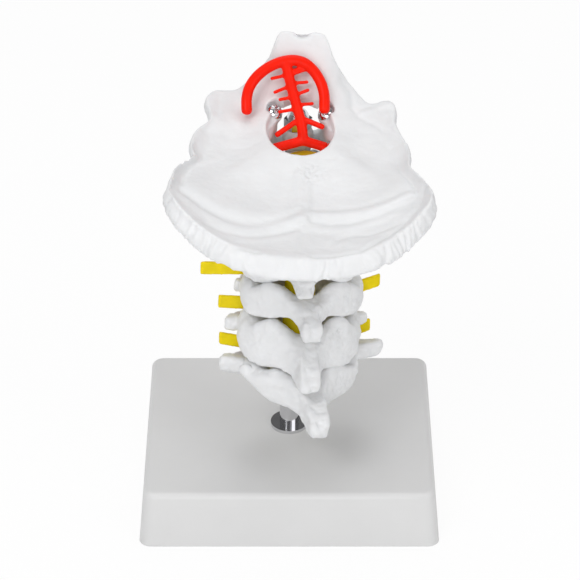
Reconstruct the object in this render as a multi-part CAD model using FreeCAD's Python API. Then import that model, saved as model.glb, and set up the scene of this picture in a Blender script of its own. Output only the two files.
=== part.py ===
import FreeCAD, Part
import math
import os

from FreeCAD import Placement, Rotation, Vector

# Cervical column (C1 to C7) with its occipital plate, on a rod and a moulded base.
# Millimetres, +Z up, +Y towards the front of the neck, seen from behind along +Y.
# The origin is the centre of the underside of the base.

# Base: a moulded shell, open below, with ribs and a boss for the rod
BASE_WIDTH = 125.0
BASE_DEPTH = 106.0
BASE_HEIGHT = 25.0
BASE_DRAFT = 2.2
BASE_CORNER_RADIUS = 5.0
BASE_EDGE_RADIUS = 2.5
BASE_WALL = 2.6
BASE_TOP_WALL = 3.2
BOSS_DIAMETER = 20.0
BOSS_DEPTH = 7.0
RIB_THICKNESS = 2.4
RIB_LIFT = 5.0

# Rod, tube, flange and nuts
ROD_DIAMETER = 6.0
ROD_CLEARANCE = 0.3
BONE_BORE_CLEARANCE = 0.6
TUBE_DIAMETER = 8.2
TUBE_LENGTH = 27.0
FLANGE_DIAMETER = 15.8
FLANGE_THICKNESS = 1.5
NUT_ACROSS_FLATS = 10.0
NUT_THICKNESS = 4.0
WASHER_DIAMETER = 14.0
WASHER_THICKNESS = 1.2
ROD_END_BELOW_NUT = 1.5
CAP_NUT_HEIGHT = 8.5
CAP_NUT_HEX_HEIGHT = 4.0
CAP_NUT_ROOF = 2.0
CAP_NUT_SHOULDER = 0.4

# Curve of the column: upright, bent forward, then bent back over a long arc
LEAN_TURN = 14.0
FORWARD_BEND_RADIUS = 60.0
FORWARD_BEND_ANGLE = 18.0
BACK_BEND_RADIUS = 226.0

# Vertebrae: one level is a body and the disc above it
BODY_HEIGHT = 12.9
DISC_HEIGHT = 3.9
BODY_HALF_DEPTH = 8.0
DISC_HALF_DEPTH = 7.4
DISC_BULGE = 0.5
DISC_SIDE_CLEARANCE = 0.5
SEAT_SHARE = 0.84
CANAL_HALF_WIDTH = 12.5
CANAL_FRONT = -8.0
CANAL_BACK = -24.4
FACET_GAP = 3.5
FACET_FRONT_TOP = 11.0
FACET_SLOPE = 0.94
FORAMEN_X = 17.0
FORAMEN_Y = -1.5
FORAMEN_RADIUS = 2.9
ARTERY_RADIUS = 2.0

# Axis and atlas
AXIS_HEIGHT = 26.5
DENS_WIDEST_RADIUS = 6.2
DENS_WAIST_RADIUS = 5.3
ATLAS_RISE = 15.4
AXIS_YAW = 5.0
ATLAS_YAW = 4.0
JOINT_GAP = 0.5
AXIS_JOINT_HEIGHT = 15.0
AXIS_JOINT_SLOPE = 16.0
JOINT_RADIUS = 27.0
JOINT_BACK = 16.0
CONDYLE_SPHERE_RADIUS = 40.0
CONDYLE_DEPTH = 9.0
CONDYLE_ROOT = 3.5
BASION_LIFT = 2.2

# Cord and nerve roots
CORD_WIDTH = 13.0
CORD_DEPTH = 8.0
CORD_Y = -15.5
CORD_YAW = 8.0
CORD_SECTIONS = 11
CORD_START = 2.0
CORD_RISE_ABOVE_AXIS = 22.0
NERVE_HEIGHT = 5.5
NERVE_THICKNESS = 2.0
NERVE_ROOT_Z = 8.6
SOFT_CLEARANCE = 0.4

# Occipital plate: its own frame has the centre of the foramen magnum as origin,
# which lies at X, Y and RISE from the centre of the atlas
PLATE_X = 0.935511077847
PLATE_Y = -17.895306113416
PLATE_RISE = 22.075194550261
PLATE_PITCH = 5.0
PLATE_ROLL = 2.0
MAGNUM_HALF_WIDTH = 13.3
MAGNUM_HALF_LENGTH = 18.0
MAGNUM_SHIFT = -1.5
CONDYLE_X = 15.5
CONDYLE_Y = 8.0
CONDYLE_HALF_WIDTH = 5.6
CONDYLE_HALF_LENGTH = 11.0
CONDYLE_SPLAY = 22.0

# Screws through the condyles into the atlas
SCREW_X = 10.4
SCREW_Y = 11.5
SCREW_Z = -2.0
SCREW_DIAMETER = 3.5
SCREW_LENGTH = 21.0
SCREW_HEAD_DIAMETER = 7.2
SCREW_HEAD_HEIGHT = 2.9
SCREW_CLEARANCE = 0.3
SCREW_HOLE_SPARE = 1.0
SCREW_BOSS_DIAMETER = 8.0
SCREW_BOSS_LENGTH = 6.0
SCREW_OUTWARD = 27.0
SCREW_FORWARD = 12.0

# Basilar arteries: a tree in a plane that leans back over the clivus, placed from the plate's centre
TREE_X = -4.4
TREE_Y = 12.6
TREE_RISE = 5.7
TREE_ANGLE = 57.0
ARCH_RADIUS = 2.2
STEM_RADIUS = 2.1
FORK_RADIUS = 2.0
FORK_KNOT_RADIUS = 2.3
BRANCH_END_ROUNDING = 0.8
THIN_BRANCH_RADIUS = 1.15
TWIG_RADIUS = 0.75

BASE_TOP = BASE_HEIGHT
COLUMN_FOOT = BASE_TOP + FLANGE_THICKNESS + TUBE_LENGTH
LEVEL = BODY_HEIGHT + DISC_HEIGHT
AXIS_START = 5 * LEVEL
ROD_RADIUS = ROD_DIAMETER / 2
BONE_BORE_RADIUS = ROD_RADIUS + BONE_BORE_CLEARANCE
UP = Vector(0, 0, 1)

SECTION_POINTS = 12
SECTION_SQUARENESS = 0.55

# Sizes that differ from vertebra to vertebra, with the tilt left to the column's curve.
# process: reach of the left and right tubercle; taper: rise of the left and right pillar's
# lower outer corner; notch: rise of the lamina's bottom and fall of its top by the midline;
# shoulder: top of the lamina beside the pillar; nerve: reach and height of each root's tip
VERTEBRAE = {
    "c7": dict(order=0, yaw=16, body=13.6, pillar=25.5, taper=(11.0, 5.0), notch=(0.0, -0.5), shoulder=6.0,
               spine=48.0, spine_drop=-10.0, knob=4.6, fork=0.5,
               process=(28.0, 31.0), process_lift=(10.5, 11.0), process_height=8.4,
               nerve=((32.5, 15.5), (33.0, 14.0))),
    "c6": dict(order=1, yaw=11, body=13.0, pillar=26.5, taper=(1.0, 1.0), notch=(0.0, 2.4), shoulder=9.4,
               spine=44.0, spine_drop=-14.5, knob=4.6, fork=2.4,
               process=(22.5, 20.5), process_lift=(2.0, 5.0), process_height=6.6,
               nerve=((33.0, 9.0), (35.0, 19.0))),
    "c5": dict(order=2, yaw=11, body=12.4, pillar=26.5, taper=(1.0, 1.0), notch=(1.2, 2.2), shoulder=9.4,
               spine=41.0, spine_drop=-8.0, knob=4.6, fork=1.5,
               process=(16.5, 13.5), process_lift=(2.5, 2.5), process_height=6.4,
               nerve=((41.0, 8.5), (30.0, 8.5))),
    "c4": dict(order=3, yaw=6, body=11.8, pillar=25.8, taper=(1.0, 1.0), notch=(3.0, 1.0), shoulder=7.0,
               spine=38.5, spine_drop=-4.0, knob=4.2, fork=2.4,
               process=(12.5, 12.5), process_lift=(2.5, 2.5), process_height=6.4,
               nerve=((34.0, 9.5), (34.0, 9.5))),
    "c3": dict(order=4, yaw=6, body=11.4, pillar=25.2, taper=(1.0, 1.0), notch=(1.5, 0.5), shoulder=6.6,
               spine=36.5, spine_drop=-4.0, knob=4.2, fork=2.0,
               process=(11.5, 11.5), process_lift=(2.5, 2.5), process_height=6.0,
               nerve=((33.0, 9.5), (33.0, 9.5))),
}

# Stations of the plate's outline, from the clivus back to the midline behind: x, y, height
# of the inner edge, inset of that edge, thickness, bowl depth, ridge height, ridge place
PLATE_FRONT = (0.0, 33.4, 24.0, 1.5, 12.5, -1.0, 0.0, 0.58)
PLATE_BACK = (0.0, -95.4, 2.4, 6.0, 8.5, 3.4, 1.6, 0.56)
PLATE_RIGHT = [
    (6.0, 33.2, 24.0, 1.5, 12.5, -0.5, 0.0, 0.58),
    (10.4, 32.4, 23.6, 1.5, 12.0, 0.0, 0.0, 0.58),
    (13.0, 26.6, 16.0, 1.5, 9.0, 0.0, 0.0, 0.58),
    (17.8, 25.0, 9.0, 1.5, 6.5, 0.0, 0.0, 0.58),
    (22.8, 23.6, 2.5, 1.5, 5.0, -1.5, 0.0, 0.58),
    (27.6, 19.2, -1.0, 1.5, 5.0, 0.0, 0.0, 0.58),
    (31.2, 19.2, -1.0, 1.5, 5.0, 0.5, 0.0, 0.58),
    (37.0, 22.4, 0.0, 1.5, 5.5, 1.5, 0.0, 0.58),
    (40.2, 14.5, 0.0, 1.5, 5.0, 1.5, 0.0, 0.58),
    (37.8, 4.5, 0.5, 1.5, 4.5, 2.0, 0.0, 0.58),
    (41.6, -6.5, 1.0, 1.5, 4.5, 3.0, 0.0, 0.6),
    (43.8, -15.0, 2.0, 1.5, 4.5, 4.0, 0.5, 0.7),
    (43.8, -25.0, 3.5, 1.5, 4.5, 5.5, 1.0, 0.8),
    (42.4, -31.8, 5.0, 1.5, 4.5, 6.0, 1.6, 0.86),
    (46.0, -39.0, 6.5, 2.0, 5.0, 6.5, 2.4, 0.86),
    (49.8, -49.6, 9.0, 2.5, 6.0, 7.0, 3.0, 0.85),
    (52.8, -58.4, 9.5, 3.5, 7.5, 6.4, 3.0, 0.82),
    (50.2, -66.8, 8.2, 4.5, 8.0, 6.0, 2.8, 0.78),
    (44.6, -75.6, 6.2, 5.5, 8.5, 5.8, 2.6, 0.73),
    (36.6, -84.2, 4.2, 6.0, 8.5, 5.8, 2.4, 0.68),
    (26.4, -90.4, 3.0, 6.0, 8.5, 5.8, 2.3, 0.62),
    (14.4, -94.0, 2.2, 6.0, 8.5, 5.6, 2.3, 0.58),
    (6.0, -95.2, 2.2, 6.0, 8.5, 4.8, 2.0, 0.56),
]
PLATE_LEFT = [
    (6.0, 33.6, 24.0, 1.5, 12.5, -0.5, 0.0, 0.58),
    (10.6, 33.4, 23.8, 1.5, 12.0, 0.0, 0.0, 0.58),
    (12.2, 29.6, 16.0, 1.5, 9.0, 0.0, 0.0, 0.58),
    (16.8, 29.2, 8.5, 1.5, 6.5, 0.0, 0.0, 0.58),
    (22.8, 26.4, 2.5, 1.5, 5.0, -1.5, 0.0, 0.58),
    (28.2, 23.4, -0.5, 1.5, 5.0, 0.0, 0.0, 0.58),
    (35.6, 26.2, 0.0, 1.5, 5.5, 1.0, 0.0, 0.58),
    (40.2, 17.0, 0.0, 1.5, 5.0, 1.5, 0.0, 0.58),
    (36.6, 8.0, 0.0, 1.5, 5.0, 1.5, 0.0, 0.58),
    (37.0, 1.0, 0.5, 1.5, 4.5, 2.0, 0.0, 0.58),
    (42.6, -5.5, 1.0, 1.5, 4.5, 3.0, 0.0, 0.6),
    (44.2, -15.5, 2.0, 1.5, 4.5, 4.0, 0.5, 0.7),
    (44.0, -23.6, 3.0, 1.5, 4.5, 5.0, 1.0, 0.8),
    (41.2, -28.4, 4.0, 1.5, 4.5, 5.5, 1.4, 0.86),
    (47.4, -33.8, 4.5, 1.5, 4.5, 6.0, 1.8, 0.88),
    (50.2, -41.0, 6.0, 2.0, 5.0, 6.5, 2.4, 0.88),
    (50.6, -48.6, 7.0, 2.5, 6.0, 7.0, 3.0, 0.87),
    (53.6, -57.0, 8.5, 3.5, 7.5, 6.4, 3.0, 0.84),
    (50.6, -66.4, 8.0, 4.5, 8.0, 6.0, 2.8, 0.78),
    (44.6, -75.6, 6.0, 5.5, 8.5, 5.8, 2.6, 0.73),
    (36.6, -84.2, 4.2, 6.0, 8.5, 5.8, 2.4, 0.68),
    (26.4, -90.4, 3.0, 6.0, 8.5, 5.8, 2.3, 0.62),
    (14.4, -94.0, 2.2, 6.0, 8.5, 5.6, 2.3, 0.58),
    (6.0, -95.2, 2.2, 6.0, 8.5, 4.8, 2.0, 0.56),
]
# Rows from the foramen to the inner edge of the rim: share of the way to the ridge, share
# of the way on from it, share of the bowl's depth, share of the ridge's height
TOP_ROWS = [
    (0.08, 0.0, 0.15, 0.0), (0.35, 0.0, 0.6, 0.0), (0.72, 0.0, 1.0, 0.2), (1.0, 0.0, 0.95, 1.0),
    (1.0, 0.24, 0.95, 0.1), (1.0, 0.5, 0.85, 0.5), (1.0, 0.78, 0.5, 0.0),
]
UNDER_ROWS = [0.9, 0.7, 0.45, 0.2, 0.04]

# Tree of arteries, in its plane: x, height along the slope, stand-off towards the back
ARCH_ROUTE = [
    (-16.8, -7.4, 5.7), (-17.1, -1.0, 4.5), (-16.0, 3.8, 3.0), (-13.0, 8.2, 1.5), (-8.6, 11.8, 0.5),
    (-3.2, 14.2, 0.0), (2.0, 14.9, 0.0), (6.6, 13.6, 0.0), (10.4, 9.8, 0.2), (12.9, 5.4, 0.8),
    (14.1, 0.6, 1.8), (14.0, -6.8, 3.6),
]
STEM_ROUTE = [(-1.4, 13.6, 0.0), (0.7, 4.5, 0.0), (3.0, -3.6, 0.0), (4.9, -10.2, 0.0), (5.6, -17.4, 0.0)]
FORK_ENDS = [(-6.3, -20.6, 0.0), (14.9, -20.2, 0.0)]
THIN_BRANCHES = [
    [(2.4, -10.0, 0.0), (-5.6, -15.6, 0.0)],
    [(6.6, -9.2, 0.0), (14.0, -12.4, 2.5)],
]
TWIGS = [
    [(-1.6, 8.6, 0.0), (-7.6, 7.2, 0.4)],
    [(-0.6, 4.0, 0.0), (-6.4, 1.6, 0.4)],
    [(0.6, -0.2, 0.0), (-4.4, -1.2, 0.4)],
    [(1.8, -5.0, 0.0), (-4.6, -6.2, 2.0)],
    [(-1.0, 9.6, 0.0), (6.2, 12.0, 0.2)],
    [(-0.4, 8.6, 0.0), (6.8, 11.0, 0.2)],
    [(0.8, 5.4, 0.0), (7.8, 6.0, 0.4)],
    [(2.0, 0.6, 0.0), (8.2, 3.0, 0.4)],
    [(3.4, -3.2, 0.0), (10.0, -2.6, 0.4)],
]


def closed_surface(grid):
    """Solid inside one smooth surface that closes on itself in both directions."""
    rows = len(grid)
    columns = len(grid[0])
    surface = Part.BSplineSurface()
    surface.buildFromPolesMultsKnots(
        grid, [1] * (rows + 1), [1] * (columns + 1),
        list(range(rows + 1)), list(range(columns + 1)), True, True, 3, 3,
    )
    solid = Part.Solid(Part.Shell([surface.toShape()]))
    if solid.Volume < 0:
        solid.reverse()
    return solid


def section_points(station, side=1):
    """Rounded upright section between an inner and an outer plan point.

    The outer end is shifted by drop, and its lower corner raised by taper.
    """
    inner_x, inner_y, outer_x, outer_y, bottom, top, drop, taper = station
    points = []
    for step in range(SECTION_POINTS):
        angle = 2 * math.pi * step / SECTION_POINTS
        across = math.copysign(abs(math.cos(angle)) ** SECTION_SQUARENESS, math.cos(angle))
        upward = math.copysign(abs(math.sin(angle)) ** SECTION_SQUARENESS, math.sin(angle))
        share = (across + 1) / 2
        x = inner_x + (outer_x - inner_x) * share
        y = inner_y + (outer_y - inner_y) * share
        z = bottom + (top - bottom) * (upward + 1) / 2 + (drop + taper * (1 - upward) / 2) * share
        points.append(Vector(side * x, y, z))
    return points


def ring_of_bone(right, left):
    """Ring of bone from its two halves, front midline first and back midline last."""
    right_rows = [section_points(station) for station in right]
    left_rows = [section_points(station, -1) for station in left[1:-1]]
    return closed_surface(right_rows + left_rows[::-1])


def mirrored_ring(half):
    """Ring of bone from one half without tapers."""
    stations = [station + (0.0,) for station in half]
    return ring_of_bone(stations, stations)


def column_point(length):
    """Reach, rise and tilt of the rod's axis, a length above the lowest endplate."""
    forward = math.radians(FORWARD_BEND_ANGLE)
    forward_length = FORWARD_BEND_RADIUS * forward
    back_length = AXIS_START - forward_length
    if length <= 0:
        return 0.0, length, 0.0
    if length <= forward_length:
        angle = length / FORWARD_BEND_RADIUS
        return FORWARD_BEND_RADIUS * (1 - math.cos(angle)), FORWARD_BEND_RADIUS * math.sin(angle), angle
    reach = FORWARD_BEND_RADIUS * (1 - math.cos(forward))
    rise = FORWARD_BEND_RADIUS * math.sin(forward)
    angle = forward - min(length - forward_length, back_length) / BACK_BEND_RADIUS
    reach += BACK_BEND_RADIUS * (math.cos(angle) - math.cos(forward))
    rise += BACK_BEND_RADIUS * (math.sin(forward) - math.sin(angle))
    beyond = max(0.0, length - forward_length - back_length)
    return reach + beyond * math.sin(angle), rise + beyond * math.cos(angle), angle


def column_placement(length, yaw=0.0):
    """Frame on the rod's axis with its z along the rod."""
    reach, rise, tilt = column_point(length)
    turn = math.radians(LEAN_TURN)
    place = Vector(reach * math.sin(turn), reach * math.cos(turn), COLUMN_FOOT + rise)
    hinge = Vector(-math.cos(turn), math.sin(turn), 0)
    return Placement(place, Rotation(hinge, math.degrees(tilt)) * Rotation(UP, yaw))


def body_frame(size):
    """Frame at the centre of a vertebra's body."""
    return column_placement(size["order"] * LEVEL + BODY_HEIGHT / 2, size["yaw"])


def placed(shape, placement):
    moved = shape.copy()
    moved.Placement = placement.multiply(moved.Placement)
    return moved


def rounded_outline(width, depth, radius, height):
    """Closed wire of a rectangle with round corners at a height."""
    x = width / 2
    y = depth / 2
    corner = radius * (1 - math.sqrt(0.5))
    edges = []
    for turn in range(4):
        half_x, half_y = (x, y) if turn % 2 == 0 else (y, x)
        spin = Rotation(UP, 90 * turn)

        def at(px, py):
            return spin.multVec(Vector(px, py, 0)) + Vector(0, 0, height)

        edges.append(Part.LineSegment(at(half_x, -half_y + radius), at(half_x, half_y - radius)).toShape())
        edges.append(Part.Arc(
            at(half_x, half_y - radius),
            at(half_x - corner, half_y - corner),
            at(half_x - radius, half_y),
        ).toShape())
    return Part.Wire(edges)


def hexagon(across_flats, height):
    """Hexagonal prism on z = 0."""
    radius = across_flats / math.sqrt(3)
    angles = [math.radians(60 * corner) for corner in range(7)]
    corners = [Vector(radius * math.cos(angle), radius * math.sin(angle), 0) for angle in angles]
    return Part.Face(Part.makePolygon(corners)).extrude(Vector(0, 0, height))


def tube_along(points, radius):
    """Round tube along straight runs that tangent arcs join."""
    edges = []
    start = points[0]
    for before, corner, after in zip(points, points[1:], points[2:]):
        back = before - corner
        ahead = after - corner
        reach = 0.45 * min(back.Length, ahead.Length)
        back.normalize()
        ahead.normalize()
        entry = corner + back * reach
        leave = corner + ahead * reach
        half_turn = (math.pi - back.getAngle(ahead)) / 2
        middle = (back + ahead).normalize()
        arc_radius = reach / math.tan(half_turn)
        depth = arc_radius / math.cos(half_turn) - arc_radius
        edges.append(Part.LineSegment(start, entry).toShape())
        edges.append(Part.Arc(entry, corner + middle * depth, leave).toShape())
        start = leave
    edges.append(Part.LineSegment(start, points[-1]).toShape())
    path = Part.Wire(edges)
    ring = Part.Wire(Part.makeCircle(radius, points[0], points[1] - points[0]))
    return path.makePipeShell([ring], True, False)


def base_shell():
    top_width = BASE_WIDTH - 2 * BASE_DRAFT
    top_depth = BASE_DEPTH - 2 * BASE_DRAFT
    outer = Part.makeLoft([
        rounded_outline(BASE_WIDTH, BASE_DEPTH, BASE_CORNER_RADIUS, 0),
        rounded_outline(top_width, top_depth, BASE_CORNER_RADIUS, BASE_HEIGHT),
    ], True, True)
    top_edges = [edge for edge in outer.Edges if edge.BoundBox.ZMin > BASE_HEIGHT - 0.01]
    outer = outer.makeFillet(BASE_EDGE_RADIUS, top_edges)
    inner_radius = BASE_CORNER_RADIUS - BASE_WALL
    roof = BASE_HEIGHT - BASE_TOP_WALL
    roof_draft = BASE_DRAFT * roof / BASE_HEIGHT
    hollow = Part.makeLoft([
        rounded_outline(BASE_WIDTH - 2 * BASE_WALL, BASE_DEPTH - 2 * BASE_WALL, inner_radius, 0),
        rounded_outline(BASE_WIDTH - 2 * (BASE_WALL + roof_draft), BASE_DEPTH - 2 * (BASE_WALL + roof_draft),
                        inner_radius, roof),
    ], True, True)
    boss = Part.makeCylinder(BOSS_DIAMETER / 2, BOSS_DEPTH, Vector(0, 0, roof - BOSS_DEPTH))
    ribs = []
    for across, along in ((BASE_WIDTH, RIB_THICKNESS), (RIB_THICKNESS, BASE_DEPTH)):
        rib = Part.makeBox(across, along, roof - RIB_LIFT, Vector(-across / 2, -along / 2, RIB_LIFT))
        ribs.append(rib.common(hollow))
    keep_clear = Part.makeCylinder(BOSS_DIAMETER / 2, roof - BOSS_DEPTH)
    shell = outer.cut(hollow).fuse([boss] + [rib.cut(keep_clear) for rib in ribs])
    bore = Part.makeCylinder(ROD_RADIUS + ROD_CLEARANCE, BASE_HEIGHT)
    return shell.cut(bore).removeSplitter()


def washer(outer, thickness, bottom):
    ring = Part.makeCylinder(outer / 2, thickness, Vector(0, 0, bottom))
    return ring.cut(Part.makeCylinder(ROD_RADIUS + ROD_CLEARANCE, thickness, Vector(0, 0, bottom)))


def column_rod(bottom, top_length):
    """Rod from below the base up the curve of the column."""
    foot = Vector(0, 0, bottom)
    start = column_placement(0).Base
    forward_length = FORWARD_BEND_RADIUS * math.radians(FORWARD_BEND_ANGLE)
    back_length = AXIS_START - forward_length
    knee = column_placement(forward_length).Base
    neck = column_placement(forward_length + back_length).Base
    edges = [
        Part.LineSegment(foot, start).toShape(),
        Part.Arc(start, column_placement(forward_length / 2).Base, knee).toShape(),
        Part.Arc(knee, column_placement(forward_length + back_length / 2).Base, neck).toShape(),
        Part.LineSegment(neck, column_placement(top_length).Base).toShape(),
    ]
    ring = Part.Wire(Part.makeCircle(ROD_RADIUS, foot, UP))
    return Part.Wire(edges).makePipeShell([ring], True, False)


def hexagon_nut():
    bore = Part.makeCylinder(ROD_RADIUS, NUT_THICKNESS)
    return hexagon(NUT_ACROSS_FLATS, NUT_THICKNESS).cut(bore)


def cap_nut():
    """Hexagon nut with a domed cap, standing on z = 0 of the rod's frame."""
    dome_radius = NUT_ACROSS_FLATS / 2 - CAP_NUT_SHOULDER
    dome_height = CAP_NUT_HEIGHT - CAP_NUT_HEX_HEIGHT
    centre_drop = (dome_radius ** 2 - dome_height ** 2) / (2 * dome_height)
    ball = Part.makeSphere(dome_height + centre_drop, Vector(0, 0, CAP_NUT_HEX_HEIGHT - centre_drop))
    dome = ball.common(Part.makeCylinder(dome_radius, dome_height, Vector(0, 0, CAP_NUT_HEX_HEIGHT)))
    bore = Part.makeCylinder(ROD_RADIUS, CAP_NUT_HEIGHT - CAP_NUT_ROOF)
    return hexagon(NUT_ACROSS_FLATS, CAP_NUT_HEX_HEIGHT).fuse(dome).cut(bore).removeSplitter()


def transverse_ring(side, reach, lift, height, centre=(FORAMEN_X, FORAMEN_Y, 0)):
    """Loop of bone round the artery's hole, drawn out to a tubercle behind."""
    outer = [max(5.6, reach * 0.34), 7.4, 6.0, 5.2, 6.0, 7.0, 7.2, 6.8, max(8.4, reach * 0.5), reach]
    lifts = [lift * 0.2 - 0.5, -1.0, -0.5, 0.0, 0.0, 0.0, 0.0, 0.0, lift * 0.5, lift]
    grid = []
    for step, (distance, raised) in enumerate(zip(outer, lifts)):
        angle = 2 * math.pi * step / len(outer)
        cosine = math.cos(angle)
        sine = math.sin(angle)
        grid.append(section_points((
            centre[0] + FORAMEN_RADIUS * cosine, centre[1] + FORAMEN_RADIUS * sine,
            centre[0] + distance * cosine, centre[1] + distance * sine,
            centre[2] - height / 2, centre[2] + height / 2, raised, 0.0,
        ), side))
    return closed_surface(grid)


def facet_top(y):
    """Height of the upper facet above the centre of its body, along the slope."""
    return FACET_FRONT_TOP + FACET_SLOPE * (y + 11.7)


def vertebra(size, below):
    """Typical vertebra about the centre of its body, with seats for its discs."""
    order = size["order"]
    middle = order * LEVEL + BODY_HEIGHT / 2
    tilt = column_point(middle)[2]
    tilt_below = column_point(middle - LEVEL)[2] if order else tilt
    facet_height = LEVEL - FACET_GAP

    def closing(y):
        """Height by which the bend of the column closes the gap below, at y."""
        return math.sin(tilt - tilt_below) * y

    def facet(y):
        """Bottom and top of the articular pillar where its middle is at y."""
        top = facet_top(y)
        return top - facet_height + closing(y), top

    half_body = size["body"]
    pillar = size["pillar"]
    spine = -size["spine"]
    drop = size["spine_drop"]
    knob = size["knob"]
    end = BODY_HEIGHT / 2 + 0.5
    front_bottom, front_top = facet(-11.7)
    middle_bottom, middle_top = facet(-16.0)
    back_bottom, back_top = facet(-20.2)
    notch_below, notch_above = size["notch"]
    lamina_bottom = closing(CANAL_BACK) + notch_below - 7.6
    neck = knob * 0.85
    tip = knob * 1.1

    def half(taper):
        return [
            (0.0, CANAL_FRONT, 0.0, BODY_HALF_DEPTH, -end, end, 0, 0),
            (half_body * 0.4, CANAL_FRONT, half_body * 0.44, BODY_HALF_DEPTH, -end, end + 0.2, 0, 0),
            (half_body * 0.76, CANAL_FRONT + 0.5, half_body * 0.84, BODY_HALF_DEPTH - 2, -end, end + 1.0, 0, 0),
            (half_body * 0.88, CANAL_FRONT - 0.5, half_body * 1.08, 1.0, -end + 1, end + 2.4, 0, 0),
            (CANAL_HALF_WIDTH - 0.7, -11.0, 15.5, -6.0, -2.0, 5.5, 0, 0),
            (CANAL_HALF_WIDTH, -13.5, pillar - 1.5, -10.0, front_bottom, front_top, 0, taper),
            (CANAL_HALF_WIDTH + 0.5, -16.5, pillar, -15.5, middle_bottom, middle_top, 0, taper),
            (CANAL_HALF_WIDTH, -19.5, pillar - 1.5, -21.0, back_bottom, back_top, 0, taper),
            (CANAL_HALF_WIDTH - 2.5, -21.5, 18.0, -26.0, closing(-24.0) - 10.0, size["shoulder"], 0, taper / 3),
            (6.0, CANAL_BACK + 1.4, 9.5, -29.0, lamina_bottom, 6.5 - notch_above, -1.0, 0),
            (3.0, CANAL_BACK + 0.6, neck, (spine + CANAL_BACK) / 2, lamina_bottom, 6.0 - notch_above, drop * 0.5, 0),
            (1.4, CANAL_BACK + 0.2, tip, spine - size["fork"] * 0.5, -7.0, 4.6, drop, 0),
            (0.0, CANAL_BACK, 0.0, spine + size["fork"], -6.5, 4.0, drop, 0),
        ]

    left_taper, right_taper = size["taper"]
    ring = ring_of_bone(half(right_taper), half(left_taper))
    processes = [
        transverse_ring(side, reach, lift, size["process_height"])
        for side, reach, lift in zip((-1, 1), size["process"], size["process_lift"])
    ]
    half = BODY_HEIGHT / 2
    seat_width = 2 * half_body * SEAT_SHARE
    seat_depth = BODY_HALF_DEPTH - CANAL_FRONT + 3
    upper_seat = Part.makeBox(seat_width, seat_depth, half, Vector(-seat_width / 2, CANAL_FRONT - 1.5, half))
    lower_width = 2 * half_body + 6
    lower_seat = Part.makeBox(lower_width, seat_depth, half, Vector(-lower_width / 2, CANAL_FRONT - 1.5, -2 * half))
    bore = Part.makeCylinder(BONE_BORE_RADIUS, BODY_HEIGHT * 2, Vector(0, 0, -BODY_HEIGHT))
    bone = placed(ring.fuse(processes).cut([upper_seat, bore]), body_frame(size))
    grooves = nerve_roots(size, SOFT_CLEARANCE)
    if below:
        grooves += nerve_roots(below, SOFT_CLEARANCE)
        return bone.cut([placed(lower_seat, body_frame(size))] + grooves)
    lower_seat.translate(Vector(0, 0, BODY_HEIGHT / 2))
    return bone.cut([placed(lower_seat, column_placement(0, size["yaw"]))] + grooves)


def disc(below, above):
    """Disc between the flat seats of two bodies, slightly bulged."""
    lower = body_frame(below).multiply(Placement(Vector(0, 0, BODY_HEIGHT / 2), Rotation()))
    if above is None:
        upper = column_placement(AXIS_START, AXIS_YAW)
    else:
        upper = body_frame(above).multiply(Placement(Vector(0, 0, -BODY_HEIGHT / 2), Rotation()))
    half_width = below["body"] * SEAT_SHARE - DISC_BULGE - DISC_SIDE_CLEARANCE

    def outline(frame, grow):
        ellipse = Part.Ellipse(Vector(0, 0, 0), half_width + grow, DISC_HALF_DEPTH + grow)
        return placed(Part.Wire(ellipse.toShape()), frame)

    centre = Placement((lower.Base + upper.Base) * 0.5, lower.Rotation.slerp(upper.Rotation, 0.5))
    body = Part.makeLoft([outline(lower, 0), outline(centre, DISC_BULGE), outline(upper, 0)], True)
    bore = placed(Part.makeCylinder(BONE_BORE_RADIUS, 4 * DISC_HEIGHT, Vector(0, 0, -2 * DISC_HEIGHT)), centre)
    return body.cut(bore)


def axis_joint(gap, above):
    """Space above or below the sloping joint between axis and atlas, in the axis frame."""
    slope = math.tan(math.radians(AXIS_JOINT_SLOPE))
    height = AXIS_JOINT_HEIGHT + gap
    edge = height - JOINT_RADIUS * slope
    cone = Part.makeCone(JOINT_RADIUS, 0.01, JOINT_RADIUS * slope, Vector(0, 0, edge))
    under = Part.makeCylinder(JOINT_RADIUS, 20, Vector(0, 0, edge - 20)).fuse(cone)
    front = Part.makeBox(80, 60, 90, Vector(-40, -JOINT_BACK, -40))
    if not above:
        return under.common(front)
    block = Part.makeCylinder(JOINT_RADIUS, 30, Vector(0, 0, edge))
    return block.cut(cone).common(front)


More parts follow.
